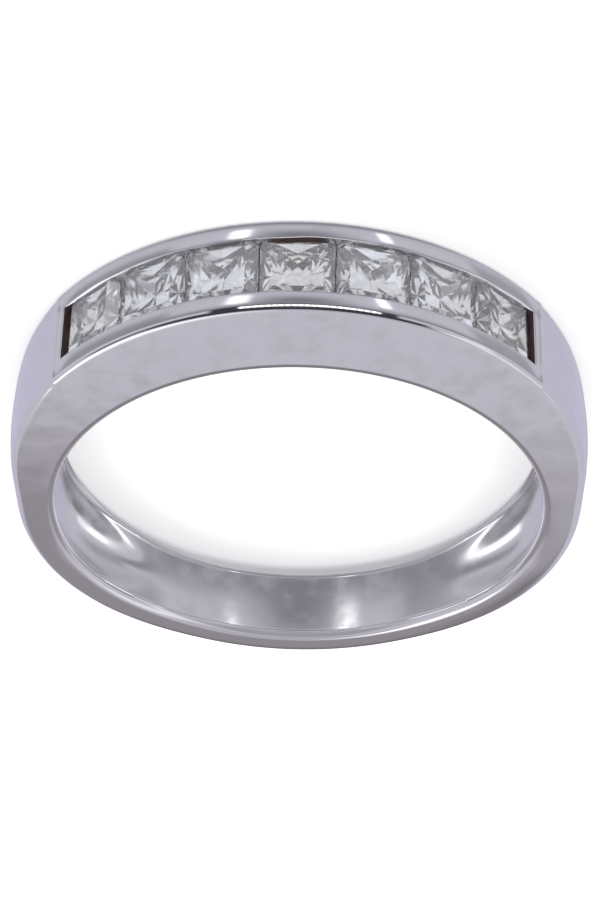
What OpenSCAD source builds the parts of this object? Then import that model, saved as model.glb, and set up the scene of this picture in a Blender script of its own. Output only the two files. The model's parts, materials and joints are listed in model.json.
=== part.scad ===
// Half eternity ring: a tapering band whose head holds one curved row of princess-cut stones
// in a channel. The ring lies on its side: the finger hole runs along Z, the head faces -Y,
// and z = 0 is the plane that the side of the head rests on.

/* [Finger hole] */
// Diameter of the finger hole
bore_d = 17.2; // [16:0.2:19]

/* [Shank] */
// Metal beside the finger hole, a quarter turn from the head
side_t = 1.5; // [1.4:0.05:1.7]
// Metal at the bottom of the shank
foot_t = 1.45; // [1.2:0.05:1.6]
// Width of the shank at the bottom
foot_w = 2.96; // [2.6:0.02:3.2]
// How far the outer face falls from its middle to its sides, at the bottom of the shank
foot_crown = 0.35; // [0.2:0.05:0.4]
// Height of the rounded edge at the bottom of the shank
foot_edge_h = 0.25; // [0.15:0.05:0.3]
// Width of the rounded edge at the bottom of the shank
foot_edge_w = 0.45; // [0.2:0.05:0.6]
// Angle from the head's middle where the outer face is fully rounded
round_from = 125; // [110:1:150]
// Angle from the head's middle where the width starts to taper
taper_from = 110; // [95:1:118]
// Angle from the head's middle where the taper ends
taper_to = 160; // [140:1:170]

/* [Head] */
// Metal above the finger hole in the head's middle
head_t = 3.3; // [3.25:0.05:3.6]
// Width of the head
head_w = 3.64; // [3.5:0.02:4]
// Radius of the head's outer edges
head_edge = 0.13; // [0.08:0.01:0.2]
// Strip of flat metal between the channel's end and the shoulder
end_strip = 0.38; // [0.2:0.02:0.4]
// How far the shoulder's crest lies below the flat of the head
end_step = 0.04; // [0:0.01:0.06]

/* [Stones] */
// Side of a stone at its girdle
stone_w = 2.45; // [2.3:0.01:2.5]
// Side of a stone's table
table_w = 1.72; // [1.5:0.02:1.8]
// Height of the crown, from the girdle to the table
crown_h = 0.27; // [0.2:0.01:0.3]
// Thickness of the girdle
girdle_h = 0.07; // [0.04:0.01:0.1]
// Depth of the pavilion, from the girdle to the point
pavilion_h = 1.4; // [1.3:0.02:1.45]
// Gap between neighbouring stones
stone_gap = 0.05; // [0.02:0.01:0.1]
// Depth of the tables under the rims' flats
table_sink = 0.08; // [0.04:0.01:0.15]

/* [Channel] */
// Opening between the two rims
slot_w = 2.15; // [2:0.01:2.2]
// Gap between an end stone and the end of the channel
end_gap = 0.1; // [0.1:0.02:0.3]
// Clearance round a stone's girdle and under its pavilion
seat_gap = 0.03; // [0.02:0.01:0.04]
// Height above the girdles at which the rims overhang the stones
lip_h = 0.14; // [0.1:0.01:0.18]
// Depth of the channel's floor under the girdle
floor_depth = 0.95; // [0.9:0.01:1]
// Side of the light window under each stone
window_w = 1.2; // [1.16:0.02:1.24]

/* [Hollowed shoulders] */
// Angle from the head's middle to the deepest place of a hollow
hollow_at = 105; // [102:1:108]
// Angle from there to either end of the hollow
hollow_span = 33; // [28:1:34]
// Width of the hollow where it is deepest
hollow_w = 3; // [2.4:0.1:3.1]
// How much tighter than the finger hole the hollow curves
hollow_shift = 2.8; // [2:0.1:3]

/* [Hidden] */
$fn = 96;
stone_count = 7;
mid_z = head_w / 2;

// The outline is two equal circles joined by straight sides: one round the head, one round the foot
bore_r = bore_d / 2;
outer_r = bore_r + side_t;
head_c = bore_r + head_t - outer_r;
foot_c = outer_r - bore_r - foot_t;

// Stones, counted from the circle round the head
girdle_r = outer_r - table_sink - crown_h - girdle_h / 2;
pitch = 2 * atan((stone_w + stone_gap) / 2 / girdle_r);
last_at = pitch * (stone_count - 1) / 2;
slot_end = last_at + pitch / 2 + atan((end_gap - stone_gap / 2) / girdle_r);
strip_end = slot_end + atan(end_strip / outer_r);

// The same place seen from the middle of the finger hole
crease = atan2(outer_r * sin(strip_end), head_c + outer_r * cos(strip_end));
crease_span = 1.2;
// Power of the way down the shank: below 1 the rounding comes early
shoulder_ease = 0.75;

// Sections of the band's skin: along the head, across each crease and along each half of the shank
head_sections = 34;
crease_sections = 3;
shank_sections = 42;
edge_steps = 3;

// How far the skin of the band reaches inside the finger hole before that is bored
bore_skin = 0.6;
// A cutter reaches this far past what it cuts
past = 1;
// The finger hole's seam lies here, away from the windows and the hollows
bore_seam = 22.5;

function mix(a, b, k) = a + (b - a) * k;
function ease(k) = let (c = min(max(k, 0), 1)) c * c * (3 - 2 * c);
function span(a, b, n) = [for (i = [0 : n - 1]) mix(a, b, i / n)];

// Distance from the axis to the outline at angle a from the head's middle
function circle_r(c, a) = c * cos(a) + sqrt(outer_r * outer_r - pow(c * sin(a), 2));
function outline_r(a) =
    circle_r(head_c, a) * cos(a) >= head_c ? circle_r(head_c, a)
    : circle_r(foot_c, a) * cos(a) <= foot_c ? circle_r(foot_c, a)
    : outer_r / abs(sin(a));

function past_crease(a) = ease((abs(a) - crease) / crease_span);
function down_shank(a) = pow(min(max((abs(a) - crease) / (round_from - crease), 0), 1), shoulder_ease);
function crest_r(a) = outline_r(a) - end_step * past_crease(a) * (1 - down_shank(a));
function half_w(a) = mix(head_w, foot_w, ease((abs(a) - taper_from) / (taper_to - taper_from))) / 2;

function at(r, a, z) = [r * sin(a), -r * cos(a), z];

// One side of the section at angle a, as [height across the ring, radius], from its edge to its middle:
// a quarter ellipse for the edge on top of a face that falls with the square of the distance
function half_section(a) =
    let (k = down_shank(a), w = half_w(a), crown = foot_crown * k,
        edge_w = mix(head_edge, foot_edge_w, k), edge_h = mix(head_edge, foot_edge_h, k),
        steps = concat(
            [for (i = [0 : edge_steps]) let (t = 90 * i / edge_steps)
                [w - edge_w * (1 - cos(t)), edge_h * (1 - sin(t))]],
            [[(w - edge_w) / 2, 0]]))
    [for (p = steps) [p[0], crest_r(a) - crown * pow(p[0] / w, 2) - p[1]]];

function section(a) =
    let (w = half_w(a), side = half_section(a), n = len(side))
    concat(
        [at(bore_r - bore_skin, a, -w)],
        [for (p = side) at(p[1], a, -p[0])],
        [at(crest_r(a), a, 0)],
        [for (i = [n - 1 : -1 : 0]) at(side[i][1], a, side[i][0])],
        [at(bore_r - bore_skin, a, w)]);

// A closed skin through a ring of sections
module ring_skin(sections) {
    n = len(sections);
    m = len(sections[0]);
    faces = [for (i = [0 : n - 1], j = [0 : m - 1])
        let (a = i * m, b = (i + 1) % n * m, k = (j + 1) % m)
        for (f = [[a + j, a + k, b + k], [a + j, b + k, b + j]]) f];
    polyhedron(points = [for (s = sections) each s], faces = faces);
}

module band_body() {
    run = crease + crease_span;
    angles = concat(span(-180, -run, shank_sections), span(-run, -crease, crease_sections),
        span(-crease, crease, head_sections), span(crease, run, crease_sections),
        span(run, 180, shank_sections));
    ring_skin([for (a = angles) section(a)]);
}

// The channel's section: rims that overhang the girdles, then walls that follow the pavilions
module channel_section() {
    girdle_low = girdle_r - girdle_h / 2;
    lip = girdle_r + girdle_h / 2 + lip_h;
    half = [[outer_r + past, slot_w / 2], [lip, slot_w / 2], [lip, stone_w / 2 + seat_gap],
        [girdle_low - seat_gap, stone_w / 2 + seat_gap],
        for (k = [1, 2]) [girdle_low - PAVILION[k][1] * pavilion_h,
            PAVILION[k][0] * stone_w / 2 + 2 * seat_gap],
        [girdle_low - floor_depth, window_w / 2]];
    polygon(concat(half, [for (i = [len(half) - 1 : -1 : 0]) [half[i][0], -half[i][1]]]));
}

module channel() {
    translate([0, -head_c, 0])
        rotate([0, 0, -90 - slot_end]) rotate_extrude(angle = 2 * slot_end) channel_section();
}

module window(i) {
    top = girdle_r - girdle_h / 2 - floor_depth + seat_gap;
    low = bore_r - head_c - past;
    on_head(i) translate([-window_w / 2, -top, -window_w / 2]) cube([window_w, top - low, window_w]);
}

// A smooth scoop in the wall of the finger hole
module hollow(side) {
    reach = sqrt(pow(bore_r, 2) + pow(hollow_shift, 2)
        - 2 * bore_r * hollow_shift * cos(hollow_span));
    depth = reach - (bore_r - hollow_shift);
    r = (pow(hollow_w / 2, 2) + depth * depth) / (2 * depth);
    translate(at(hollow_shift, side * hollow_at, 0))
        rotate_extrude() translate([reach - r, 0]) circle(r);
}

module on_head(i) {
    translate([0, -head_c, 0]) rotate([0, 0, (i - 1) * pitch - last_at]) children();
}

module band() {
    color("lightgray") translate([0, 0, mid_z]) difference() {
        band_body();
        rotate([0, 0, bore_seam]) cylinder(r = bore_r, h = head_w + 2 * past, center = true);
        channel();
        for (i = [1 : stone_count]) window(i);
        for (side = [-1, 1]) hollow(side);
    }
}

// Princess cut. The pavilion's middle line: share of the half width, share of the depth
PAVILION = [[1, 0], [0.86, 0.22], [0.62, 0.5], [0.34, 0.76]];

module princess_cut() {
    g = stone_w / 2;
    t = table_w / 2;
    corner = [[-1, -1], [1, -1], [1, 1], [-1, 1]];
    middle = [[0, -1], [1, 0], [0, 1], [-1, 0]];
    rows = len(PAVILION);
    // 0-3 table, 4-7 girdle's top corners, 8-11 its lower corners, 12-15 its top middles,
    // then the four middles of each pavilion row, and the point
    points = concat(
        [for (c = corner) [c[0] * t, c[1] * t, girdle_h / 2 + crown_h]],
        [for (z = [1, -1], c = corner) [c[0] * g, c[1] * g, z * girdle_h / 2]],
        [for (m = middle) [m[0] * g, m[1] * g, girdle_h / 2]],
        [for (p = PAVILION, m = middle)
            [m[0] * g * p[0], m[1] * g * p[0], -girdle_h / 2 - p[1] * pavilion_h]],
        [[0, 0, -girdle_h / 2 - pavilion_h]]);
    tip = 16 + 4 * rows;
    faces = [for (i = [0 : 3]) let (n = (i + 1) % 4, top = 12 + i, low = 16 + i)
        for (f = [
            [i, top, n], [i, 4 + i, top], [n, top, 4 + n],
            [4 + i, 8 + i, low], [4 + i, low, top], [top, low, 8 + n], [top, 8 + n, 4 + n],
            for (k = [0 : rows - 1]) let (a = low + 4 * k, b = k < rows - 1 ? a + 4 : tip)
                for (c = [[8 + i, b, a], [a, b, 8 + n]]) c]) f];
    polyhedron(points = points, faces = concat([[0, 1, 2], [0, 2, 3]], faces));
}

module stone(i) {
    color("lightcyan") translate([0, 0, mid_z]) on_head(i)
        translate([0, -girdle_r, 0]) rotate([90, 0, 0]) princess_cut();
}

band();
for (i = [1 : stone_count]) stone(i);
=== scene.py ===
import json
import math
from collections import namedtuple
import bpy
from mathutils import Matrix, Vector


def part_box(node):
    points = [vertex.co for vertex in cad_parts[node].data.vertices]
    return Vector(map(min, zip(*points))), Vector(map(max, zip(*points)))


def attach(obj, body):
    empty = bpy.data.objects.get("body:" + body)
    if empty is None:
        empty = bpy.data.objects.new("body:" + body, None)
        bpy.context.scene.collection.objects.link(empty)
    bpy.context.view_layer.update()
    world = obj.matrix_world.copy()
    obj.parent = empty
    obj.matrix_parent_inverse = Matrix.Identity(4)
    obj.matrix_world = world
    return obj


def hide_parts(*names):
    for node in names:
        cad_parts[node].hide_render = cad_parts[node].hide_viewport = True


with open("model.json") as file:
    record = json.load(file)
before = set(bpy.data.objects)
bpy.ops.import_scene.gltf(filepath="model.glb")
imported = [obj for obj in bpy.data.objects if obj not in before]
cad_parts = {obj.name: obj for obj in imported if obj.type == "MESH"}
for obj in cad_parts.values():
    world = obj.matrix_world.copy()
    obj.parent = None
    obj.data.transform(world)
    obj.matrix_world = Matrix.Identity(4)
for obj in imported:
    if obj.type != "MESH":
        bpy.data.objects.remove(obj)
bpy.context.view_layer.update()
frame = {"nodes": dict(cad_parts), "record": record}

from types import SimpleNamespace

import bmesh
import bpy
from bpy.props import FloatProperty, FloatVectorProperty, PointerProperty
from mathutils import Matrix, Vector

bl_info = {
    "name": "Half Eternity Ring",
    "version": (1, 0, 0),
    "blender": (4, 5, 0),
    "location": "View3D > Sidebar > Ring",
    "description": "Dresses a channel-set half eternity ring and sets up its stage",
    "category": "Object",
}

MM = 0.001
BAND_LOW, BAND_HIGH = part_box("band")
MOUNTS = {mount["name"]: mount for mount in frame["record"]["mounts"]}
BORE_R_MM = MOUNTS["finger_hole"]["dims"]["r_mm"]
STONES = sorted(name for name in frame["nodes"] if name.startswith("stone_"))
# Steps of the channel's sloping walls, as shares of a stone's half width and of its pavilion's depth
PAVILION = [(0.86, 0.22), (0.62, 0.5)]
# Vertices that lie closer than this, in millimetres, are one, and turns in radians are the same
SAME_PLACE = 1e-5
SAME_TURN = 1e-4


# Sizes and colours that a user would change


def length(name, description, mm):
    """A length property that shows in the scene's units and is given here in millimetres."""
    return FloatProperty(
        name=name, description=description, default=mm * MM, min=0,
        unit="LENGTH", subtype="DISTANCE", precision=5,
    )


def angle(name, description, degrees):
    """An angle property that is given here in degrees."""
    return FloatProperty(
        name=name, description=description, default=math.radians(degrees),
        unit="ROTATION", subtype="ANGLE",
    )


def colour(name, description, rgb):
    """A colour property. What gives light may be brighter than 1."""
    return FloatVectorProperty(
        name=name, description=description, default=rgb, size=3, min=0, soft_max=1, subtype="COLOR"
    )


def share(name, description, default):
    """A plain number between 0 and 1, such as a roughness."""
    return FloatProperty(
        name=name, description=description, default=default, min=0, max=1, subtype="FACTOR"
    )


class BandSizes(bpy.types.PropertyGroup):
    """Sizes of the polished band, from its head down to its foot"""

    side_metal: length("Side metal", "Metal beside the finger hole, a quarter turn from the head", 1.5)
    foot_width: length("Foot width", "Width of the shank at its bottom", 2.96)
    foot_crown: length("Foot crown", "Fall of the outer face from middle to sides at the bottom", 0.35)
    foot_edge_width: length("Foot edge width", "Width of the rounded edges at the bottom", 0.45)
    foot_edge_height: length("Foot edge height", "Height of the rounded edges at the bottom", 0.25)
    head_edge: length("Head edge", "Radius of the head's outer edges", 0.15)
    inner_edge: length("Inner edge", "Radius of the finger hole's edges under the head", 0.2)
    foot_inner_edge: length("Foot inner edge", "Radius of the finger hole's edges at the bottom", 0.3)
    side_crown: length("Side crown", "Fall of the shank's sides from their middle to their edges", 0.03)
    crown_from: angle("Crown from", "Where the sides start to be crowned, from the head's middle", 78)
    crown_to: angle("Crown to", "Where the sides are fully crowned, from the head's middle", 130)
    rim_crown: length("Rim crown", "Height of the polished swell on each rim", 0.012)
    end_step: length("End step", "How far the shoulder lies below the flat of the head", 0.015)
    ridge: length("Ridge", "Rise of the flat strip at the channel's end, towards the shoulder", 0.02)
    dish: length("Dish", "Depth to which the shank's inner face is dished", 0.025)
    round_from: angle("Round from", "Where the outer face is fully rounded, from the head's middle", 125)
    taper_from: angle("Taper from", "Where the width starts to taper, from the head's middle", 110)
    taper_to: angle("Taper to", "Where the taper ends, from the head's middle", 160)


class ChannelSizes(bpy.types.PropertyGroup):
    """Sizes of the channel that holds the stones"""

    slot_width: length("Slot width", "Opening between the two rims", 2.15)
    end_gap: length("End gap", "Gap between an end stone and the end of the channel", 0.04)
    end_strip: length("End strip", "Flat metal between the channel's end and the shoulder", 0.44)
    seat_gap: length("Seat gap", "Clearance round a stone's girdle and under its pavilion", 0.03)
    lip: length("Lip", "Height above the girdles at which the rims overhang the stones", 0.14)
    floor_depth: length("Floor depth", "Depth of the channel's floor under the girdle", 0.95)
    window: length("Window", "Side of the light window under each stone", 1.2)
    edge: length("Slot edge", "Width of the rounding along the slot", 0.12)
    flare: length("Flare", "How far each rim slopes from its flat to its lip", 0.06)
    # How far from the head's middle the painted shade reaches along the lower rim
    shade_reach: length("Paste reach", "How far paste reaches along a rim, from the head's middle", 1.1)
    waviness: length("Waviness", "How far the pressed rims wander along the slot", 0.035)


class StoneSizes(bpy.types.PropertyGroup):
    """Sizes of a princess-cut stone, as it sits in the channel"""

    width: length("Width", "Side of a stone at its girdle", 2.45)
    gap: length("Gap", "Gap between neighbouring stones", 0.05)
    crown: length("Crown", "Height from the girdle to the table", 0.27)
    girdle: length("Girdle", "Thickness of the girdle", 0.07)
    pavilion: length("Pavilion", "Depth from the girdle to the point", 1.4)
    sink: length("Sink", "Depth of the tables under the rims' flats", 0.08)


class HollowSizes(bpy.types.PropertyGroup):
    """Sizes of the two hollows inside the shoulders"""

    at: angle("At", "Deepest place of a hollow, from the head's middle", 105)
    span: angle("Span", "Angle from the deepest place to either end", 33)
    width: length("Width", "Width of the hollow where it is deepest", 3.0)
    shift: length("Shift", "How much tighter than the finger hole the hollow curves", 2.8)
    roll: length("Roll", "Rounding between the hollow and the finger hole", 0.16)


class FinishLook(bpy.types.PropertyGroup):
    """Colours and finishes of the metal and the stones"""

    white_gold: colour("White gold", "Colour of the polished metal", (0.82, 0.81, 0.825))
    dull_gold: colour("Dull white gold", "Colour of the metal where it is hazy", (0.79, 0.78, 0.79))
    inner_gold: colour("Inner white gold", "Colour of the metal in the finger hole", (0.79, 0.78, 0.785))
    # Painted shade: the dark brown at the channel's two ends and under the lower rim's middle, where the
    # narrow gaps lie in shade. The lighter colour below it is the channel's metal elsewhere.
    paste: colour("Polishing paste", "Colour of the channel under the paste", (0.16, 0.12, 0.11))
    channel_metal: colour("Thin paste", "Colour of the channel where the paste is thin", (0.66, 0.64, 0.64))
    polish: share("Polish", "Roughness of the polished metal", 0.07)
    inner_polish: share("Inner polish", "Roughness of the metal in the finger hole", 0.13)
    cast: share("Cast finish", "Roughness of the metal inside the channel", 0.4)
    waves: length("Waves", "Height of the slow waves that polishing leaves", 0.006)
    inner_waves: length("Inner waves", "Height of these waves in the finger hole", 0.008)
    scratches: length("Scratches", "Depth of the fine scratches", 0.0001)
    clear_stone: colour("Clear stone", "Colour of the stones' clear parts", (0.98, 0.985, 0.99))
    warm_stone: colour("Warm stone", "Colour of the stones' warm patches", (0.95, 0.93, 0.88))
    clarity: share("Clarity", "How much of the light a stone lets through, the rest looks milky", 0.93)
    facets: share("Facets", "Roughness of the stones' facets", 0.045)
    stone_haze: share("Stone haze", "How much rougher the stones' hazy spots are", 0.04)


class StageLook(bpy.types.PropertyGroup):
    """Colours of the floor and the light, and the camera"""

    floor: colour("Floor", "Colour of the floor", (0.93, 0.93, 0.93))
    backdrop: colour("Backdrop", "What the camera sees beyond the floor", (0.93, 0.93, 0.94))
    tent: colour("Tent", "Colour of the tent's cloth", (0.60, 0.59, 0.66))
    violet: colour("Violet side", "Colour of the cloth beside the shoulders", (0.57, 0.56, 0.69))
    daylight: colour("Daylight", "What the tent sheds on the floor", (1.3, 1.3, 1.3))
    lamp: colour("Lamps", "Colour of the lamps behind the cloth", (1.7, 1.68, 1.75))
    window: colour("Windows", "Colour of the tent's bright sides", (1.5, 1.5, 1.55))
    card: colour("White card", "Light of the white card before the head", (2.3, 2.27, 2.33))
    shade: colour("Black cards", "Colour of the black cards round the white card", (0.05, 0.045, 0.06))
    table: colour("Table", "The table beyond the ring", (0.32, 0.295, 0.325))
    stone_dark: colour("Dark light", "Darkest light that shines through the stones", (0.58, 0.57, 0.58))
    stone_warm: colour("Warm light", "Warm light that shines through the stones", (0.68, 0.67, 0.65))
    stone_grey: colour("Grey light", "Grey light that shines through the stones", (0.76, 0.79, 0.87))
    stone_white: colour("White light", "White light that shines through the stones", (1.0, 1.05, 1.18))
    floor_power: FloatProperty(
        name="Softboxes", description="Power of each softbox over the floor", default=0.5, min=0,
        unit="POWER",
    )
    azimuth: angle("Azimuth", "Direction of the camera, 0 towards +Y", -1.076)
    elevation: angle("Elevation", "Height of the camera above the floor's plane", 35.493)
    roll: angle("Roll", "Turn of the camera about its own axis", -178.706)
    distance: length("Distance", "From the camera to the point it aims at", 103.2)
    aim: FloatVectorProperty(
        name="Aim", description="The point that the camera aims at", size=3,
        default=(-0.008 * MM, -0.505 * MM, 1.099 * MM), unit="LENGTH", subtype="XYZ", precision=6,
    )
    lens: FloatProperty(
        name="Lens", description="Focal length of the camera", default=115.82, unit="CAMERA"
    )


GROUPS = {
    "ring_band": BandSizes,
    "ring_channel": ChannelSizes,
    "ring_stone": StoneSizes,
    "ring_hollow": HollowSizes,
    "ring_finish": FinishLook,
    "ring_stage": StageLook,
}


# The ring's form, in millimetres, with the finger hole along Z and the head towards -Y


def in_mm(group):
    """A property group's lengths in millimetres and its angles in radians."""
    values = {}
    for name, prop in group.bl_rna.properties.items():
        if prop.type == "FLOAT" and not prop.is_array:
            values[name] = getattr(group, name) / (MM if prop.unit == "LENGTH" else 1)
    return SimpleNamespace(**values)


def mix(a, b, part):
    """The value that lies a part of the way from a to b."""
    return a + (b - a) * part


def ease(part):
    """0 up to 0, 1 from 1 on, and a smooth rise between them."""
    part = min(max(part, 0), 1)
    return part * part * (3 - 2 * part)


def stretch(start, end, steps):
    """Even steps from start up to, but without, end."""
    return [mix(start, end, i / steps) for i in range(steps)]


def arc(steps):
    """Angles of a rounded edge in even steps, without its start."""
    return [math.pi / 2 * (i + 1) / steps for i in range(steps)]


class RingForm:
    """The formulas that the band follows. A turn is an angle from the head's middle towards +X."""

    # How far past the crease its step ends, and where the sections' lines start from the hole's middle
    crease_span = math.radians(1.2)
    anchor_to = math.radians(110)
    # How the rounding grows down the shank, and the ridge towards the crease
    rounding_power = 0.75
    ridge_power = 3
    # The share of the slot's half width past which its edge is wavy, and the drop to a lip's underside
    wavy_from = 0.75
    lip_drop = 0.02
    # Steps round the band: over half a window, from it to half way to the next, past the last stone,
    # over the flat strip, over the crease and down the shank
    window_steps = 6
    bridge_steps = 5
    gap_steps = 2
    strip_steps = 4
    crease_steps = 4
    shank_steps = 165
    # Steps across it: over half the slot or window and up the hole's wall, with a rail beside its edge,
    # over a rounded edge, and where the rails lie on a rim and on a side
    slot_steps = 5
    bore_steps = 9
    bore_support = 0.04
    edge_arc = arc(5)
    rim_rails = (0.08, 0.2, 0.35, 0.5, 0.65, 0.8, 0.92, 1)
    side_rails = (0.04, 0.16, 0.3, 0.5, 0.7, 0.84, 0.96, 1)

    def __init__(self, scene):
        self.band = in_mm(scene.ring_band)
        self.channel = in_mm(scene.ring_channel)
        self.stone = in_mm(scene.ring_stone)
        self.hollow = in_mm(scene.ring_hollow)
        self.head_w = (BAND_HIGH.z - BAND_LOW.z) / MM
        self.mid_z = self.head_w / 2
        self.outer_r = BORE_R_MM + self.band.side_metal
        self.head_c = -BAND_LOW.y / MM - self.outer_r
        self.foot_c = self.outer_r - BAND_HIGH.y / MM
        stone, channel = self.stone, self.channel
        self.girdle_r = self.outer_r - stone.sink - stone.crown - stone.girdle / 2
        self.girdle_low = self.girdle_r - stone.girdle / 2
        self.floor_r = self.girdle_low - channel.floor_depth
        self.pitch = 2 * math.atan((stone.width + stone.gap) / 2 / self.girdle_r)
        self.centres = [self.pitch * (i - (len(STONES) - 1) / 2) for i in range(len(STONES))]
        self.window_turn = math.atan(channel.window / 2 / self.floor_r)
        self.slot_half = channel.slot_width / 2 + channel.flare / 2
        self.row_end = self.centres[-1] + self.pitch / 2
        self.slot_end = self.row_end + (channel.end_gap - stone.gap / 2) / self.girdle_r
        self.strip_end = self.slot_end + channel.end_strip / self.outer_r
        self.crease = math.atan2(
            self.outer_r * math.sin(self.strip_end), self.head_c + self.outer_r * math.cos(self.strip_end)
        )

    def head_turn(self, polar):
        """Turns an angle about the hole's middle into the one about the head circle's middle."""
        reach = self.head_c * math.cos(polar) + math.sqrt(
            self.outer_r**2 - (self.head_c * math.sin(polar)) ** 2
        )
        return math.atan2(reach * math.sin(polar), reach * math.cos(polar) - self.head_c)

    def on_head(self, turn, radius, z):
        """A point that lies at a radius from the head circle's middle."""
        return Vector((radius * math.sin(turn), -self.head_c - radius * math.cos(turn), z))

    def anchor(self, turn):
        """The section's line leaves the axis here: at the head circle's middle, then at the hole's."""
        return self.head_c * (1 - ease((abs(turn) - self.strip_end) / (self.anchor_to - self.strip_end)))

    def on_line(self, turn, reach):
        """A point that far out on a section's line."""
        return Vector((reach * math.sin(turn), -self.anchor(turn) - reach * math.cos(turn), 0))

    def circle_reach(self, turn, centre, radius):
        """Distance along the section's line to a circle whose middle lies that far towards the head."""
        offset = centre - self.anchor(turn)
        return offset * math.cos(turn) + math.sqrt(radius**2 - (offset * math.sin(turn)) ** 2)

    def outline_point(self, turn):
        """Where the line leaves the band: on the head, on a straight shoulder or on the foot."""
        head = self.on_line(turn, self.circle_reach(turn, self.head_c, self.outer_r))
        if head.y <= -self.head_c:
            return head
        foot = self.on_line(turn, self.circle_reach(turn, self.foot_c, self.outer_r))
        if foot.y >= -self.foot_c:
            return foot
        return self.on_line(turn, self.outer_r / abs(math.sin(turn)))

    def bore_turn(self, turn):
        """The same section where it meets the finger hole: windows keep their width there."""
        centre = min(self.centres, key=lambda c: abs(c - turn))
        off, half = abs(turn - centre), self.pitch / 2
        if off > half:
            return turn
        wide = math.atan(self.channel.window / 2 / self.circle_reach(centre, 0, BORE_R_MM))
        if off <= self.window_turn:
            off *= wide / self.window_turn
        else:
            off = mix(wide, half, (off - self.window_turn) / (half - self.window_turn))
        return centre + math.copysign(off, turn - centre)

    def bore_point(self, turn):
        """Where the line meets the finger hole."""
        at = self.bore_turn(turn)
        return self.on_line(at, self.circle_reach(at, 0, BORE_R_MM))

    def down_shank(self, turn):
        """How round the band is: 0 up to the crease and 1 at the bottom."""
        part = (abs(turn) - self.crease) / (self.band.round_from - self.crease)
        return min(max(part, 0), 1) ** self.rounding_power

    def half_width(self, turn):
        """Half the band's width, which tapers towards the bottom."""
        taper = (abs(turn) - self.band.taper_from) / (self.band.taper_to - self.band.taper_from)
        return mix(self.head_w, self.band.foot_width, ease(taper)) / 2

    def inner_r(self, turn, z):
        """Radius of the finger hole's wall, with the two hollows blended into it."""
        hollow = self.hollow
        reach = math.sqrt(
            BORE_R_MM**2 + hollow.shift**2 - 2 * BORE_R_MM * hollow.shift * math.cos(hollow.span)
        )
        depth = reach - (BORE_R_MM - hollow.shift)
        tube = ((hollow.width / 2) ** 2 + depth**2) / (2 * depth)
        if abs(z) >= tube:
            return BORE_R_MM
        rim = reach - tube + math.sqrt(tube**2 - z**2)
        off = abs(turn) - hollow.at
        if abs(hollow.shift * math.sin(off)) >= rim:
            return BORE_R_MM
        scoop = hollow.shift * math.cos(off) + math.sqrt(rim**2 - (hollow.shift * math.sin(off)) ** 2)
        gap = scoop - BORE_R_MM
        return BORE_R_MM + (gap + math.sqrt(gap**2 + hollow.roll**2)) / 2

    def turns(self):
        """Where the sections stand, all round: closer at the windows' edges and at the crease."""
        window, half = self.window_turn, self.pitch / 2
        right = []
        for centre in self.centres[len(self.centres) // 2 :]:
            if centre > 0:
                right += stretch(centre - half, centre - window, self.bridge_steps)
                right += stretch(centre - window, centre, self.window_steps)
            right += stretch(centre, centre + window, self.window_steps)
            right += stretch(centre + window, centre + half, self.bridge_steps)
        crease_end = self.strip_end + self.crease_span
        right += stretch(self.row_end, self.slot_end, self.gap_steps)
        right += stretch(self.slot_end, self.strip_end, self.strip_steps)
        right += stretch(self.strip_end, crease_end, self.crease_steps)
        right += stretch(crease_end, math.pi, self.shank_steps)
        return [-math.pi] + [-turn for turn in reversed(right[1:])] + right

    def half_section(self, turn):
        """Half a section: from the outer face's middle over the side to the middle of the hole's wall."""
        band = self.band
        out, inn = self.outline_point(turn), self.bore_point(turn)
        thick = (inn - out).length
        inward = (inn - out) / thick
        polar = math.atan2(out.x, -out.y)
        k, w = self.down_shank(polar), self.half_width(polar)
        edge_w = mix(band.head_edge, band.foot_edge_width, k)
        edge_h = mix(band.head_edge, band.foot_edge_height, k)
        step = band.end_step * ease((abs(polar) - self.crease) / self.crease_span) * (1 - k)

        strip = (self.head_turn(abs(polar)) - self.slot_end) / (self.strip_end - self.slot_end)
        if abs(polar) < self.crease:
            step -= band.ridge * max(strip, 0) ** self.ridge_power
        else:
            step -= band.ridge * (1 - ease((abs(polar) - self.crease) / self.crease_span))

        flat = w - edge_w
        slot = self.slot_half / (self.mid_z - band.head_edge) * flat

        def outside(z, fall):
            """A point of the outer face at height z, below the crest by the face's falls and this one."""
            swell = band.rim_crown * (1 - k)
            if z > slot:
                swell *= min(((2 * z - slot - flat) / (flat - slot)) ** 2, 1)
            drop = step + swell + band.foot_crown * k * (z / w) ** 2 + fall
            return out + inward * drop + Vector((0, 0, z))

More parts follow.
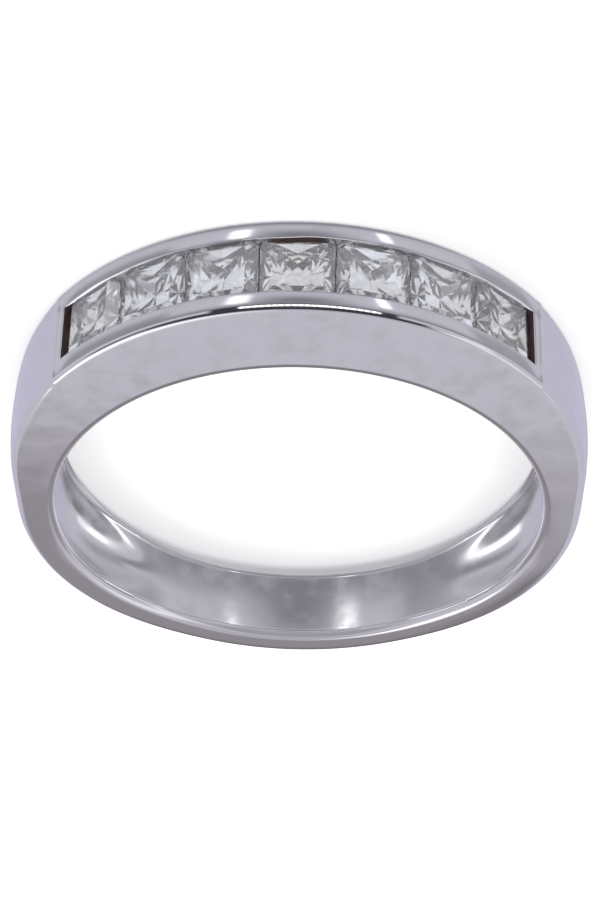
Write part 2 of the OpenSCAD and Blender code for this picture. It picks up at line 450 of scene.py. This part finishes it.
        points = [outside(slot * i / self.slot_steps, 0) for i in range(self.slot_steps + 1)]
        points += [outside(mix(slot, flat, part), 0) for part in self.rim_rails]
        fall = band.side_crown * ease((abs(polar) - band.crown_from) / (band.crown_to - band.crown_from))
        points += [
            outside(w - fall - (edge_w - fall) * (1 - math.sin(t)), edge_h * (1 - math.cos(t)))
            for t in self.edge_arc
        ]
        corner = mix(band.inner_edge, band.foot_inner_edge, k)
        side_start = points[-1] + Vector((0, 0, fall))
        side_end = inn - inward * corner + Vector((0, 0, w))
        points += [
            side_start.lerp(side_end, part) - Vector((0, 0, fall * (2 * part - 1) ** 2))
            for part in self.side_rails
        ]
        for t in self.edge_arc:
            z = w - fall - (corner - fall) * (1 - math.cos(t))
            points.append(inn - inward * corner * (1 - math.sin(t)) + Vector((0, 0, z)))
        wall = w - corner
        window = self.channel.window / 2 / (self.mid_z - band.inner_edge) * wall
        rail = wall - self.bore_support
        heights = [rail]
        heights += [mix(rail, window, (i + 1) / self.bore_steps) for i in range(self.bore_steps)]
        heights += [window * (1 - (i + 1) / self.slot_steps) for i in range(self.slot_steps)]
        bore_polar = math.atan2(inn.x, -inn.y)
        for z in heights:
            r = self.inner_r(bore_polar, z) + band.dish * k * (1 - (z / wall) ** 2)
            points.append(Vector((r * math.sin(bore_polar), -r * math.cos(bore_polar), z)))
        return points

    def section(self, turn):
        """A whole section, the second half as the mirror image of the first."""
        half = self.half_section(turn)
        return half + [Vector((p.x, p.y, -p.z)) for p in reversed(half[1:-1])]


# Modelling


# The band's materials, in the order of its slots
POLISHED, CAST, INSIDE = range(3)
# Segments of the rounding along the slot and round the light windows
SLOT_SEGMENTS = 3
WINDOW_SEGMENTS = 2
# Faces that meet at more than this show an edge
SHARP_ANGLE = math.radians(35)
# The waves of the slot's edges: the share of each, its rate along the head and how the two rims differ
WAVES = ((0.5, 9, 1), (0.3, 23, 2), (0.2, 41, 1))
RIM_SHIFT = 1.7


def new_piece(name, bm, materials):
    """Turns a bmesh in millimetres into an object that rides on the ring's body."""
    bmesh.ops.remove_doubles(bm, verts=bm.verts, dist=SAME_PLACE)
    bmesh.ops.recalc_face_normals(bm, faces=bm.faces)
    bmesh.ops.scale(bm, vec=(MM, MM, MM), verts=bm.verts)
    for face in bm.faces:
        face.smooth = True
    mesh = bpy.data.meshes.new(name)
    bm.to_mesh(mesh)
    bm.free()
    for material in materials:
        mesh.materials.append(material)
    piece = bpy.data.objects.new(name, mesh)
    bpy.context.scene.collection.objects.link(piece)
    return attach(piece, "root")


def spun_tube(sections, rails):
    """A closed tube spun from a circle, with two layers that number each vertex's section and rail."""
    bm = bmesh.new()
    tube_r, ring_r = 1, 5
    bmesh.ops.create_circle(bm, radius=tube_r, segments=rails)
    stand = Matrix.Translation((0, ring_r, 0)) @ Matrix.Rotation(math.pi / 2, 4, "Y")
    bmesh.ops.transform(bm, matrix=stand, verts=bm.verts)
    bmesh.ops.spin(
        bm, geom=bm.verts[:] + bm.edges[:], cent=(0, 0, 0), axis=(0, 0, 1), angle=2 * math.pi,
        steps=sections, use_merge=True,
    )
    section_of = bm.verts.layers.int.new("section")
    rail_of = bm.verts.layers.int.new("rail")
    for vert in bm.verts:
        turn = math.atan2(vert.co.x, -vert.co.y) + math.pi
        lean = math.atan2(vert.co.z, math.hypot(vert.co.x, vert.co.y) - ring_r)
        vert[section_of] = round(turn / (2 * math.pi) * sections) % sections
        vert[rail_of] = round(lean / (2 * math.pi) * rails) % rails
    return bm, section_of, rail_of


def border(faces):
    """The edges round a patch of faces, in the order of the faces."""
    inside = set(faces)
    edges = dict.fromkeys(edge for face in faces for edge in face.edges)
    return [edge for edge in edges if any(face not in inside for face in edge.link_faces)]


def wander(turn, height):
    """A slow uneven wave between -1 and 1, the same on each run."""
    side = RIM_SHIFT if height > 0 else 0
    return sum(part * math.sin(rate * turn + shift * side) for part, rate, shift in WAVES)


def cut_channel(bm, form, faces):
    """Sinks the patch between the rims step by step: lips, undercut, sloping walls and floor."""
    stone, channel = form.stone, form.channel
    lip_r = form.girdle_r + stone.girdle / 2 + channel.lip
    seat = stone.width / 2 + channel.seat_gap
    lip = (channel.slot_width - channel.flare) / 2
    levels = [(lip_r, lip), (lip_r - form.lip_drop, seat), (form.girdle_low - channel.seat_gap, seat)]
    levels += [
        (form.girdle_low - deep * stone.pavilion, wide * stone.width / 2 + 2 * channel.seat_gap)
        for wide, deep in PAVILION
    ]
    levels.append((form.floor_r, channel.window / 2))
    half = form.slot_half
    rim = border(faces)
    for radius, width in levels:
        made = bmesh.ops.extrude_face_region(bm, geom=faces)["geom"]
        bmesh.ops.delete(bm, geom=faces, context="FACES")
        faces = [item for item in made if isinstance(item, bmesh.types.BMFace)]
        for vert in (item for item in made if isinstance(item, bmesh.types.BMVert)):
            turn = math.atan2(vert.co.x, -vert.co.y - form.head_c)
            vert.co = form.on_head(turn, radius, vert.co.z * width / half)
        half = width
        for face in {near for face in faces for edge in face.edges for near in edge.link_faces}:
            face.material_index = CAST
    # The slot's rounded edges at the channel's ends and under the lower rim's middle keep the channel's
    # material, which paints shade there
    for edge in rim:
        middle = (edge.verts[0].co + edge.verts[1].co) / 2
        at_end = abs(math.atan2(middle.x, -middle.y - form.head_c)) > form.slot_end - SAME_TURN
        if not at_end and (middle.z > 0 or abs(middle.x) > channel.shade_reach):
            for face in edge.link_faces:
                face.material_index = POLISHED
    return faces, rim


class RING_OT_band(bpy.types.Operator):
    """Models the polished band with its channel, light windows and hollowed shoulders"""

    bl_idname = "ring.band"
    bl_label = "Band"

    def execute(self, context):
        form = RingForm(context.scene)
        turns = form.turns()
        sections = [form.section(turn) for turn in turns]
        rails = len(sections[0])
        bm, section_of, rail_of = spun_tube(len(turns), rails)
        for vert in bm.verts:
            vert.co = sections[vert[section_of]][vert[rail_of]]

        def rows(face):
            """The numbers of the sections that a face lies between."""
            return [vert[section_of] for vert in face.verts]

        def lanes(face, middle):
            """How many rails a face's corners lie away from the middle one."""
            half = rails // 2
            return [abs((vert[rail_of] - middle + half) % rails - half) for vert in face.verts]

        first = next(i for i, turn in enumerate(turns) if turn > -form.slot_end - SAME_TURN)
        last = len(turns) - first
        slot = [
            f for f in bm.faces
            if max(lanes(f, 0)) <= form.slot_steps and first <= min(rows(f)) and max(rows(f)) <= last
        ]
        slot_verts = {vert for face in slot for vert in face.verts}
        for vert in slot_verts:
            wavy = max(0, (abs(vert.co.z) / form.slot_half - form.wavy_from) / (1 - form.wavy_from))
            turn = math.atan2(vert.co.x, -vert.co.y - form.head_c)
            vert.co.z += form.channel.waviness * wavy * wander(turn, vert.co.z)
        floor, rim = cut_channel(bm, form, slot)
        bore = [f for f in bm.faces if max(lanes(f, rails // 2)) <= form.slot_steps]
        for face in bm.faces:
            if max(lanes(face, rails // 2)) <= form.slot_steps + form.bore_steps + 1:
                face.material_index = INSIDE
        window_edges = []
        for centre in form.centres:
            middle = min(range(len(turns)), key=lambda i: abs(turns[i] - centre))
            near, far = middle - form.window_steps, middle + form.window_steps
            loops = []
            for patch in (floor, bore):
                hole = [f for f in patch if f.is_valid and near <= min(rows(f)) and max(rows(f)) <= far]
                loops.append(border(hole))
                bmesh.ops.delete(bm, geom=hole, context="FACES")
            made = bmesh.ops.bridge_loops(bm, edges=loops[0] + loops[1])
            for face in made["faces"]:
                face.material_index = CAST
            window_edges += loops[1]
        roundings = ((rim, SLOT_SEGMENTS, POLISHED), (window_edges, WINDOW_SEGMENTS, -1))
        for edges, segments, material in roundings:
            bmesh.ops.bevel(
                bm, geom=edges, offset=form.channel.edge, segments=segments, profile=0.5,
                affect="EDGES", material=material, offset_type="OFFSET", clamp_overlap=True,
            )
        bmesh.ops.translate(bm, vec=(0, 0, form.mid_z), verts=bm.verts)
        look = context.scene.ring_finish
        polished = white_gold(
            look, "white_gold_polished", look.white_gold, look.dull_gold, look.polish, look.waves
        )
        # The channel's metal, with painted shade in its dark gaps
        cast = shaded_channel_gold(look, form)
        inside = white_gold(
            look, "white_gold_inside", look.inner_gold, look.dull_gold, look.inner_polish, look.inner_waves
        )
        piece = new_piece("polished_band", bm, [polished, cast, inside])
        piece.data.set_sharp_from_angle(angle=SHARP_ANGLE)
        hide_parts("band")
        return {"FINISHED"}


# Materials


# A scratch is a stroke of noise stretched along one direction
STROKE = (4, 0.12, 4)
STROKE_TURN = math.radians(25)
# How much rougher a scratch is, and a hazy spot of the channel
SCRATCH_ROUGH = 0.06
CAST_HAZE = 0.1
# Where the painted shade starts and is full, in millimetres: before the channel's end, below the head's
# middle plane, and past its reach under the lower rim, where the narrow gaps lie in shade
SHADE_END = (0.35, 0.2)
SHADE_LOW = (0.6, 0.9)
SHADE_PAST = (0.1, -0.3)
DIAMOND_IOR = 2.417


def new_material(name):
    """A material with its node tree and its shader."""
    material = bpy.data.materials.new(name)
    material.use_nodes = True
    tree = material.node_tree
    return material, tree, tree.nodes["Principled BSDF"]


def add_node(tree, kind, **settings):
    """Adds a shader node. Settings that aren't node options are values of its inputs."""
    node = tree.nodes.new(kind)
    for key, value in settings.items():
        if hasattr(node, key):
            setattr(node, key, value)
        else:
            node.inputs[key].default_value = value
    return node


def node_group(name, inputs, outputs):
    """A new shader node group. Inputs and outputs are names of its sockets with their types."""
    group = bpy.data.node_groups.new(name, "ShaderNodeTree")
    for side, sockets in (("INPUT", inputs), ("OUTPUT", outputs)):
        for socket, kind in sockets.items():
            group.interface.new_socket(socket, in_out=side, socket_type="NodeSocket" + kind)
    return group, add_node(group, "NodeGroupInput").outputs, add_node(group, "NodeGroupOutput").inputs


def maths(tree, operation, *values):
    """One step of arithmetic on sockets and numbers."""
    node = add_node(tree, "ShaderNodeMath", operation=operation)
    for socket, value in zip(node.inputs, values):
        if isinstance(value, bpy.types.NodeSocket):
            tree.links.new(value, socket)
        else:
            socket.default_value = value
    return node.outputs[0]


def smooth_step(tree, value, low, high):
    """A smooth rise from 0 at low to 1 at high, or a fall if low is the higher one."""
    node = add_node(tree, "ShaderNodeMapRange", interpolation_type="SMOOTHSTEP")
    node.inputs["From Min"].default_value = low
    node.inputs["From Max"].default_value = high
    tree.links.new(value, node.inputs["Value"])
    return node.outputs["Result"]


def blend(tree, part, a, b):
    """Mixes two colours, each a socket or red, green and blue."""
    node = add_node(tree, "ShaderNodeMix", data_type="RGBA")
    for socket, value in ((node.inputs[0], part), (node.inputs[6], a), (node.inputs[7], b)):
        if isinstance(value, bpy.types.NodeSocket):
            tree.links.new(value, socket)
        else:
            socket.default_value = (*value, 1)
    return node.outputs[2]


def object_place(tree):
    """Where a point lies on its piece."""
    return add_node(tree, "ShaderNodeTexCoord").outputs["Object"]


def parts(tree, vector):
    """The three parts of a vector or a colour."""
    node = add_node(tree, "ShaderNodeSeparateXYZ")
    tree.links.new(vector, node.inputs[0])
    return node.outputs


def noise(tree, place, scale, detail):
    """Noise with features about 1 / scale mm wide, about 0.5 on average."""
    node = add_node(tree, "ShaderNodeTexNoise", Scale=scale / MM, Detail=detail)
    tree.links.new(place, node.inputs["Vector"])
    return node.outputs["Fac"]


def polishing_marks():
    """The group that puts the marks of hand polishing on a surface: slow waves, scratches and haze."""
    name = "polishing_marks"
    if name in bpy.data.node_groups:
        return bpy.data.node_groups[name]
    tree, given, result = node_group(
        name, {"Place": "Vector", "Waves": "Float", "Scratches": "Float"},
        {"Height": "Float", "Haze": "Float", "Scratch": "Float"},
    )
    place = given["Place"]
    stroke = add_node(tree, "ShaderNodeVectorMath", operation="MULTIPLY")
    stroke.inputs[1].default_value = STROKE
    turned = add_node(tree, "ShaderNodeVectorRotate", rotation_type="Z_AXIS", Angle=STROKE_TURN)
    tree.links.new(place, turned.inputs["Vector"])
    tree.links.new(turned.outputs[0], stroke.inputs[0])
    strokes = noise(tree, stroke.outputs[0], scale=1, detail=0)
    line = maths(tree, "ABSOLUTE", maths(tree, "SUBTRACT", strokes, 0.5))
    patch = smooth_step(tree, noise(tree, place, scale=0.45, detail=1), low=0.5, high=0.62)
    scratch = maths(tree, "MULTIPLY", smooth_step(tree, line, low=0.012, high=0), patch)
    wave = maths(tree, "SUBTRACT", noise(tree, place, scale=0.55, detail=1.5), 0.5)
    waves = maths(tree, "MULTIPLY", wave, given["Waves"])
    grooves = maths(tree, "MULTIPLY", scratch, given["Scratches"])
    haze = smooth_step(tree, noise(tree, place, scale=1.2, detail=4), low=0.4, high=0.75)
    tree.links.new(maths(tree, "SUBTRACT", waves, grooves), result["Height"])
    tree.links.new(haze, result["Haze"])
    tree.links.new(scratch, result["Scratch"])
    return tree


def add_marks(tree, shader, waves, scratches):
    """Places the polishing marks in a material. Returns their haze and scratches."""
    marks = add_node(tree, "ShaderNodeGroup")
    marks.node_tree = polishing_marks()
    marks.inputs["Waves"].default_value = waves
    marks.inputs["Scratches"].default_value = scratches
    tree.links.new(object_place(tree), marks.inputs["Place"])
    bump = add_node(tree, "ShaderNodeBump", Distance=1)
    tree.links.new(marks.outputs["Height"], bump.inputs["Height"])
    tree.links.new(bump.outputs["Normal"], shader.inputs["Normal"])
    return marks.outputs["Haze"], marks.outputs["Scratch"]


def white_gold(look, name, bright, dull, roughness, waves):
    """Polished white gold, hazy and scratched in places."""
    material, tree, shader = new_material(name)
    shader.inputs["Metallic"].default_value = 1
    haze, scratch = add_marks(tree, shader, waves, look.scratches)
    tree.links.new(blend(tree, haze, tuple(bright), tuple(dull)), shader.inputs["Base Color"])
    rough = maths(tree, "MULTIPLY_ADD", haze, roughness, roughness)
    tree.links.new(maths(tree, "MULTIPLY_ADD", scratch, SCRATCH_ROUGH, rough), shader.inputs["Roughness"])
    return material


def shaded_channel_gold(look, form):
    """The channel's metal, with painted shade at its two ends and under the lower rim's middle, where the
    gaps lie in shade.
    """
    material, tree, shader = new_material("white_gold_cast_painted_shade")
    shader.inputs["Metallic"].default_value = 1
    haze, _ = add_marks(tree, shader, look.inner_waves, look.scratches)
    across = parts(tree, object_place(tree))
    end_x = form.on_head(form.slot_end, form.outer_r, 0).x
    away = maths(tree, "ABSOLUTE", across[0])
    end = smooth_step(tree, away, *((end_x - before) * MM for before in SHADE_END))
    low = smooth_step(tree, across[2], *((form.mid_z - below) * MM for below in SHADE_LOW))
    near = smooth_step(tree, away, *((form.channel.shade_reach + past) * MM for past in SHADE_PAST))
    # Painted shade: dark at the channel's two ends and under the lower rim's middle
    paste = maths(tree, "MAXIMUM", end, maths(tree, "MULTIPLY", near, low))
    tint = blend(tree, paste, tuple(look.channel_metal), tuple(look.paste))
    tree.links.new(tint, shader.inputs["Base Color"])
    tree.links.new(maths(tree, "MULTIPLY_ADD", haze, CAST_HAZE, look.cast), shader.inputs["Roughness"])
    return material


def diamond(look):
    """Clear stone, slightly milky, with warm patches and hazy spots."""
    material, tree, shader = new_material("princess_diamond")
    shader.inputs["IOR"].default_value = DIAMOND_IOR
    shader.inputs["Transmission Weight"].default_value = look.clarity
    haze, _ = add_marks(tree, shader, 0, 0)
    warmth = smooth_step(tree, noise(tree, object_place(tree), scale=0.4, detail=1), low=0.45, high=0.65)
    tint = blend(tree, warmth, tuple(look.clear_stone), tuple(look.warm_stone))
    tree.links.new(tint, shader.inputs["Base Color"])
    rough = maths(tree, "MULTIPLY_ADD", haze, look.stone_haze, look.facets)
    tree.links.new(rough, shader.inputs["Roughness"])
    return material


class RING_OT_stones(bpy.types.Operator):
    """Gives the seven princess-cut stones their clear material"""

    bl_idname = "ring.stones"
    bl_label = "Stones"

    def execute(self, context):
        material = diamond(context.scene.ring_finish)
        for name in STONES:
            stone = frame["nodes"][name]
            stone.data.materials.clear()
            stone.data.materials.append(material)
        return {"FINISHED"}


# Stage


# What the tent's cloth shows, each over the ones before it. Bearings are from the front of the head
# towards +X and heights from the horizon, in degrees, and so are the half widths and the soft edges.
Panel = namedtuple("Panel", "look strength bearing height half_wide half_high soft_wide soft_high")
PANELS = [
    Panel("violet", 1.0, 180, -25, 60, 30, 15, 15),
    Panel("tent", 0.78, 0, -80, 180, 33, 20, 12),
    Panel("tent", 0.55, 78, -32, 26, 6, 4, 4),
    Panel("tent", 0.64, -88, -34, 16, 8, 4, 5),
    Panel("tent", 0.45, 0, -27, 75, 5, 15, 3),
    Panel("tent", 0.36, 0, -34, 16, 5, 14, 6),
    Panel("tent", 0.5, 0, -68, 75, 19, 15, 4),
    Panel("tent", 0.65, 0, 45, 50, 35, 20, 10),
    Panel("tent", 0.75, 180, 78, 60, 16, 20, 6),
    Panel("table", 1.0, 172, 20, 14, 15.4, 10, 0.7),
    Panel("table", 0.55, 180, -15, 12, 46, 8, 4),
    Panel("window", 0.8, 135, 55, 32, 8, 8, 5),
    Panel("window", 1.0, 150, 53, 21, 11, 8, 3),
    Panel("window", 0.6, -96, 46, 34, 12, 10, 6),
    Panel("window", 0.6, -68, 18, 6, 22, 5, 8),
    Panel("lamp", 1.0, 24, -38.5, 4, 5, 2.5, 2),
    Panel("lamp", 1.0, -33.5, -40.5, 2.2, 5, 1.4, 1.5),
]
# Cards close to the ring, which only the faces within their reach mirror. Lengths are in millimetres and
# the soft edge is a share of the card. A bent card follows the head's curve at that radius. Beads are the
# bright spots across a card, as a row of small lamps behind it gives.
Card = namedtuple("Card", "look low high bend reach soft beads")
CARDS = {
    "white_card": Card("card", (-5, 0, 1.75), (3.6, 0, 4.9), 14.4, 8, 0.03, 22),
    "black_card": Card("shade", (-6.4, 0, 1), (5.6, 0, 9.5), 14.6, 9, 0.04, 0),
    "black_strip": Card("shade", (-9, 0, 6), (15.8, 0, 9.5), 14.8, 9, 0.02, 0),
    "black_hood": Card("shade", (-9, -16.4, 9.5), (10, -11.2, 9.5), 0, 9, 0.04, 0),
    "table_card": Card("table", (-13, 16, 3), (22, 16, 16), 0, 30, 0.3, 0),
    "left_window": Card("window", (-9, 0, -3), (-9, 8, -0.05), 0, 30, 0.1, 0),
    "right_window": Card("window", (9, -3, -3.5), (9, 8, -0.05), 0, 30, 0.1, 0),
}
CARD_STEPS = 32
# The share of its reach over which a card fades
REACH_FADE = 0.1
# The light between two beads as a share of a bead's, and where on its wave a bead starts and is full
BEAD_GAP_LIGHT = 0.35
BEAD_EDGE = (-0.8, 0.2)
# What shines through the stones: the sizes of two layers of cells, and where each light stands on the
# mean of their tones
SPARKLE_SCALES = (9.5, 28)
SPARKLE_STOPS = (("stone_dark", 0), ("stone_warm", 0.3), ("stone_grey", 0.48), ("stone_white", 0.7))
# In metres
SOFTBOXES = {"softbox_left": (-0.25, -0.15, 0.35), "softbox_right": (0.25, 0.1, 0.35)}
SOFTBOX_SIZE = 0.3
FLOOR_HALF = 1.5
FLOOR_ROUGH = 0.9
CLIP_START = 0.001
SENSOR_MM = 36
# A stone's light goes through many facets
STONE_BOUNCES = 24
GLOSSY_BOUNCES = 12


def tent_world(look):
    """The studio tent that the metal and the stones mirror, with an even light for the floor."""
    world = bpy.data.worlds.new("studio_tent")
    world.use_nodes = True
    world.cycles.sampling_method = "NONE"
    tree = world.node_tree
    tree.nodes.clear()

    def mask(value, middle, half, soft, turn=False):
        """1 within half a width of the middle, 0 outside its soft edge."""
        away = maths(tree, "SUBTRACT", value, middle)
        if turn:
            away = maths(tree, "WRAP", away, 180, -180)
        return smooth_step(tree, maths(tree, "ABSOLUTE", away), half + soft, half - soft)

    direction = add_node(tree, "ShaderNodeTexCoord").outputs["Generated"]
    x, y, z = parts(tree, direction)
    bearing = maths(tree, "DEGREES", maths(tree, "ARCTAN2", x, maths(tree, "MULTIPLY", y, -1)))
    height = maths(tree, "DEGREES", maths(tree, "ARCSINE", z))
    cloth = tuple(look.tent)
    for panel in PANELS:
        wide = mask(bearing, panel.bearing, panel.half_wide, panel.soft_wide, turn=True)
        high = mask(height, panel.height, panel.half_high, panel.soft_high)
        tint = [part * panel.strength for part in getattr(look, panel.look)]
        cloth = blend(tree, maths(tree, "MULTIPLY", wide, high), cloth, tint)

    tones = []
    for scale in SPARKLE_SCALES:
        cells = add_node(tree, "ShaderNodeTexVoronoi", Scale=scale)
        tree.links.new(direction, cells.inputs["Vector"])
        tones.append(parts(tree, cells.outputs["Color"])[0])
    mean = maths(tree, "MULTIPLY", maths(tree, "ADD", *tones), 0.5)
    sparkle = add_node(tree, "ShaderNodeValToRGB")
    tree.links.new(mean, sparkle.inputs[0])
    stops = sparkle.color_ramp.elements
    stops.remove(stops[1])
    for name, position in SPARKLE_STOPS:
        stop = stops.new(position) if position else stops[0]
        stop.color = (*getattr(look, name), 1)

    path = add_node(tree, "ShaderNodeLightPath")
    cloth = blend(tree, path.outputs["Is Transmission Ray"], cloth, sparkle.outputs[0])
    cloth = blend(tree, path.outputs["Is Diffuse Ray"], cloth, tuple(look.daylight))
    cloth = blend(tree, path.outputs["Is Camera Ray"], cloth, tuple(look.backdrop))
    background = add_node(tree, "ShaderNodeBackground")
    tree.links.new(cloth, background.inputs["Color"])
    output = add_node(tree, "ShaderNodeOutputWorld")
    tree.links.new(background.outputs[0], output.inputs["Surface"])
    return world


def softbox(name, place, size, power):
    """A square area light that looks at the ring and stays out of its reflections."""
    data = bpy.data.lights.new(name, "AREA")
    data.size = size
    data.energy = power
    lamp = bpy.data.objects.new(name, data)
    lamp.location = place
    lamp.rotation_euler = (-Vector(place)).to_track_quat("-Z", "Y").to_euler()
    lamp.visible_glossy = False
    lamp.visible_transmission = False
    bpy.context.scene.collection.objects.link(lamp)


def card(name, form, look):
    """A card that shows in the reflections of the faces near it and nowhere else."""
    plan = CARDS[name]
    low, high = Vector(plan.low), Vector(plan.high)
    size = high - low
    bm = bmesh.new()
    bmesh.ops.create_grid(bm, x_segments=CARD_STEPS, y_segments=1, size=0.5)
    if size.y == 0:
        bmesh.ops.rotate(bm, matrix=Matrix.Rotation(math.pi / 2, 3, "X"), verts=bm.verts)
    elif size.x == 0:
        bmesh.ops.rotate(bm, matrix=Matrix.Rotation(math.pi / 2, 3, "Y"), verts=bm.verts)
    bmesh.ops.scale(bm, vec=size, verts=bm.verts)
    bmesh.ops.translate(bm, vec=(low + high) / 2, verts=bm.verts)
    if plan.bend:
        for vert in bm.verts:
            vert.co = form.on_head(vert.co.x / plan.bend, plan.bend, vert.co.z)
    bmesh.ops.scale(bm, vec=(MM, MM, MM), verts=bm.verts)
    mesh = bpy.data.meshes.new(name)
    bm.to_mesh(mesh)
    bm.free()

    material, tree, shader = new_material(name)
    shader.inputs["Base Color"].default_value = (0, 0, 0, 1)
    shader.inputs["Specular IOR Level"].default_value = 0
    tint = tuple(getattr(look, plan.look))
    shader.inputs["Emission Color"].default_value = (*tint, 1)
    shader.inputs["Emission Strength"].default_value = 1
    across = parts(tree, add_node(tree, "ShaderNodeTexCoord").outputs["Generated"])
    way = add_node(tree, "ShaderNodeLightPath").outputs["Ray Length"]
    reach = plan.reach * MM
    seen = smooth_step(tree, way, reach * (1 + REACH_FADE), reach * (1 - REACH_FADE))
    for place, wide in zip(across, size):
        if wide:
            away = maths(tree, "ABSOLUTE", maths(tree, "SUBTRACT", place, 0.5))
            seen = maths(tree, "MULTIPLY", seen, smooth_step(tree, away, 0.5, 0.5 - plan.soft))
    tree.links.new(seen, shader.inputs["Alpha"])
    if plan.beads:
        wave = maths(tree, "SINE", maths(tree, "MULTIPLY", across[0], 2 * math.pi * plan.beads))
        dim = [light * BEAD_GAP_LIGHT for light in tint]
        glow = blend(tree, smooth_step(tree, wave, *BEAD_EDGE), dim, tint)
        tree.links.new(glow, shader.inputs["Emission Color"])
    mesh.materials.append(material)
    board = bpy.data.objects.new(name, mesh)
    for kind in ("camera", "diffuse", "transmission", "shadow", "volume_scatter"):
        setattr(board, "visible_" + kind, False)
    bpy.context.scene.collection.objects.link(board)


def lay_floor(look):
    """The pale floor, which the ring doesn't mirror."""
    bm = bmesh.new()
    bmesh.ops.create_grid(bm, x_segments=1, y_segments=1, size=FLOOR_HALF)
    mesh = bpy.data.meshes.new("floor")
    bm.to_mesh(mesh)
    bm.free()
    material, _, shader = new_material("pale_floor")
    shader.inputs["Base Color"].default_value = (*look.floor, 1)
    shader.inputs["Roughness"].default_value = FLOOR_ROUGH
    mesh.materials.append(material)
    floor = bpy.data.objects.new("floor", mesh)
    floor.visible_glossy = False
    floor.visible_transmission = False
    bpy.context.scene.collection.objects.link(floor)


def place_camera(scene, look):
    """The camera, at the photograph's viewing angle."""
    data = bpy.data.cameras.new("camera")
    data.lens = look.lens
    data.sensor_width = SENSOR_MM
    data.clip_start = CLIP_START
    camera = bpy.data.objects.new("camera", data)
    a, e = look.azimuth, look.elevation
    back = Vector((math.sin(a) * math.cos(e), -math.cos(a) * math.cos(e), math.sin(e)))
    upright = (-back).to_track_quat("-Z", "Y").to_matrix().to_4x4()
    place = Matrix.Translation(Vector(look.aim) + back * look.distance)
    camera.matrix_world = place @ Matrix.Rotation(look.roll, 4, back) @ upright
    scene.collection.objects.link(camera)
    scene.camera = camera


class RING_OT_stage(bpy.types.Operator):
    """Lays the pale floor and sets up the studio light and the camera"""

    bl_idname = "ring.stage"
    bl_label = "Stage"

    def execute(self, context):
        scene = context.scene
        look = scene.ring_stage
        scene.world = tent_world(look)
        lay_floor(look)
        for name, place in SOFTBOXES.items():
            softbox(name, place, SOFTBOX_SIZE, look.floor_power)
        form = RingForm(scene)
        for name in CARDS:
            card(name, form, look)
        place_camera(scene, look)
        scene.view_settings.view_transform = "Standard"
        scene.cycles.use_denoising = True
        scene.cycles.max_bounces = STONE_BOUNCES
        scene.cycles.transmission_bounces = STONE_BOUNCES
        scene.cycles.glossy_bounces = GLOSSY_BOUNCES
        return {"FINISHED"}


class RING_PT_panel(bpy.types.Panel):
    """Builds the ring's pieces and its stage"""

    bl_idname = "RING_PT_panel"
    bl_label = "Half eternity ring"
    bl_space_type = "VIEW_3D"
    bl_region_type = "UI"
    bl_category = "Ring"

    def draw(self, context):
        for operator in OPERATORS:
            self.layout.operator(operator.bl_idname)
        for key, group in GROUPS.items():
            box = self.layout.box()
            box.label(text=key.removeprefix("ring_").capitalize())
            for name in group.__annotations__:
                box.prop(getattr(context.scene, key), name)


OPERATORS = [RING_OT_stage, RING_OT_band, RING_OT_stones]
CLASSES = [*GROUPS.values(), *OPERATORS, RING_PT_panel]


def register():
    """Adds the classes to Blender, and the property groups to its scenes."""
    for cls in CLASSES:
        bpy.utils.register_class(cls)
    for key, group in GROUPS.items():
        setattr(bpy.types.Scene, key, PointerProperty(type=group))


def unregister():
    """Takes away what register adds."""
    for key in GROUPS:
        delattr(bpy.types.Scene, key)
    for cls in reversed(CLASSES):
        bpy.utils.unregister_class(cls)


def main():
    """Builds the stage and the ring."""
    register()
    bpy.ops.ring.stage()
    bpy.ops.ring.band()
    bpy.ops.ring.stones()


if __name__ == "__main__":
    main()
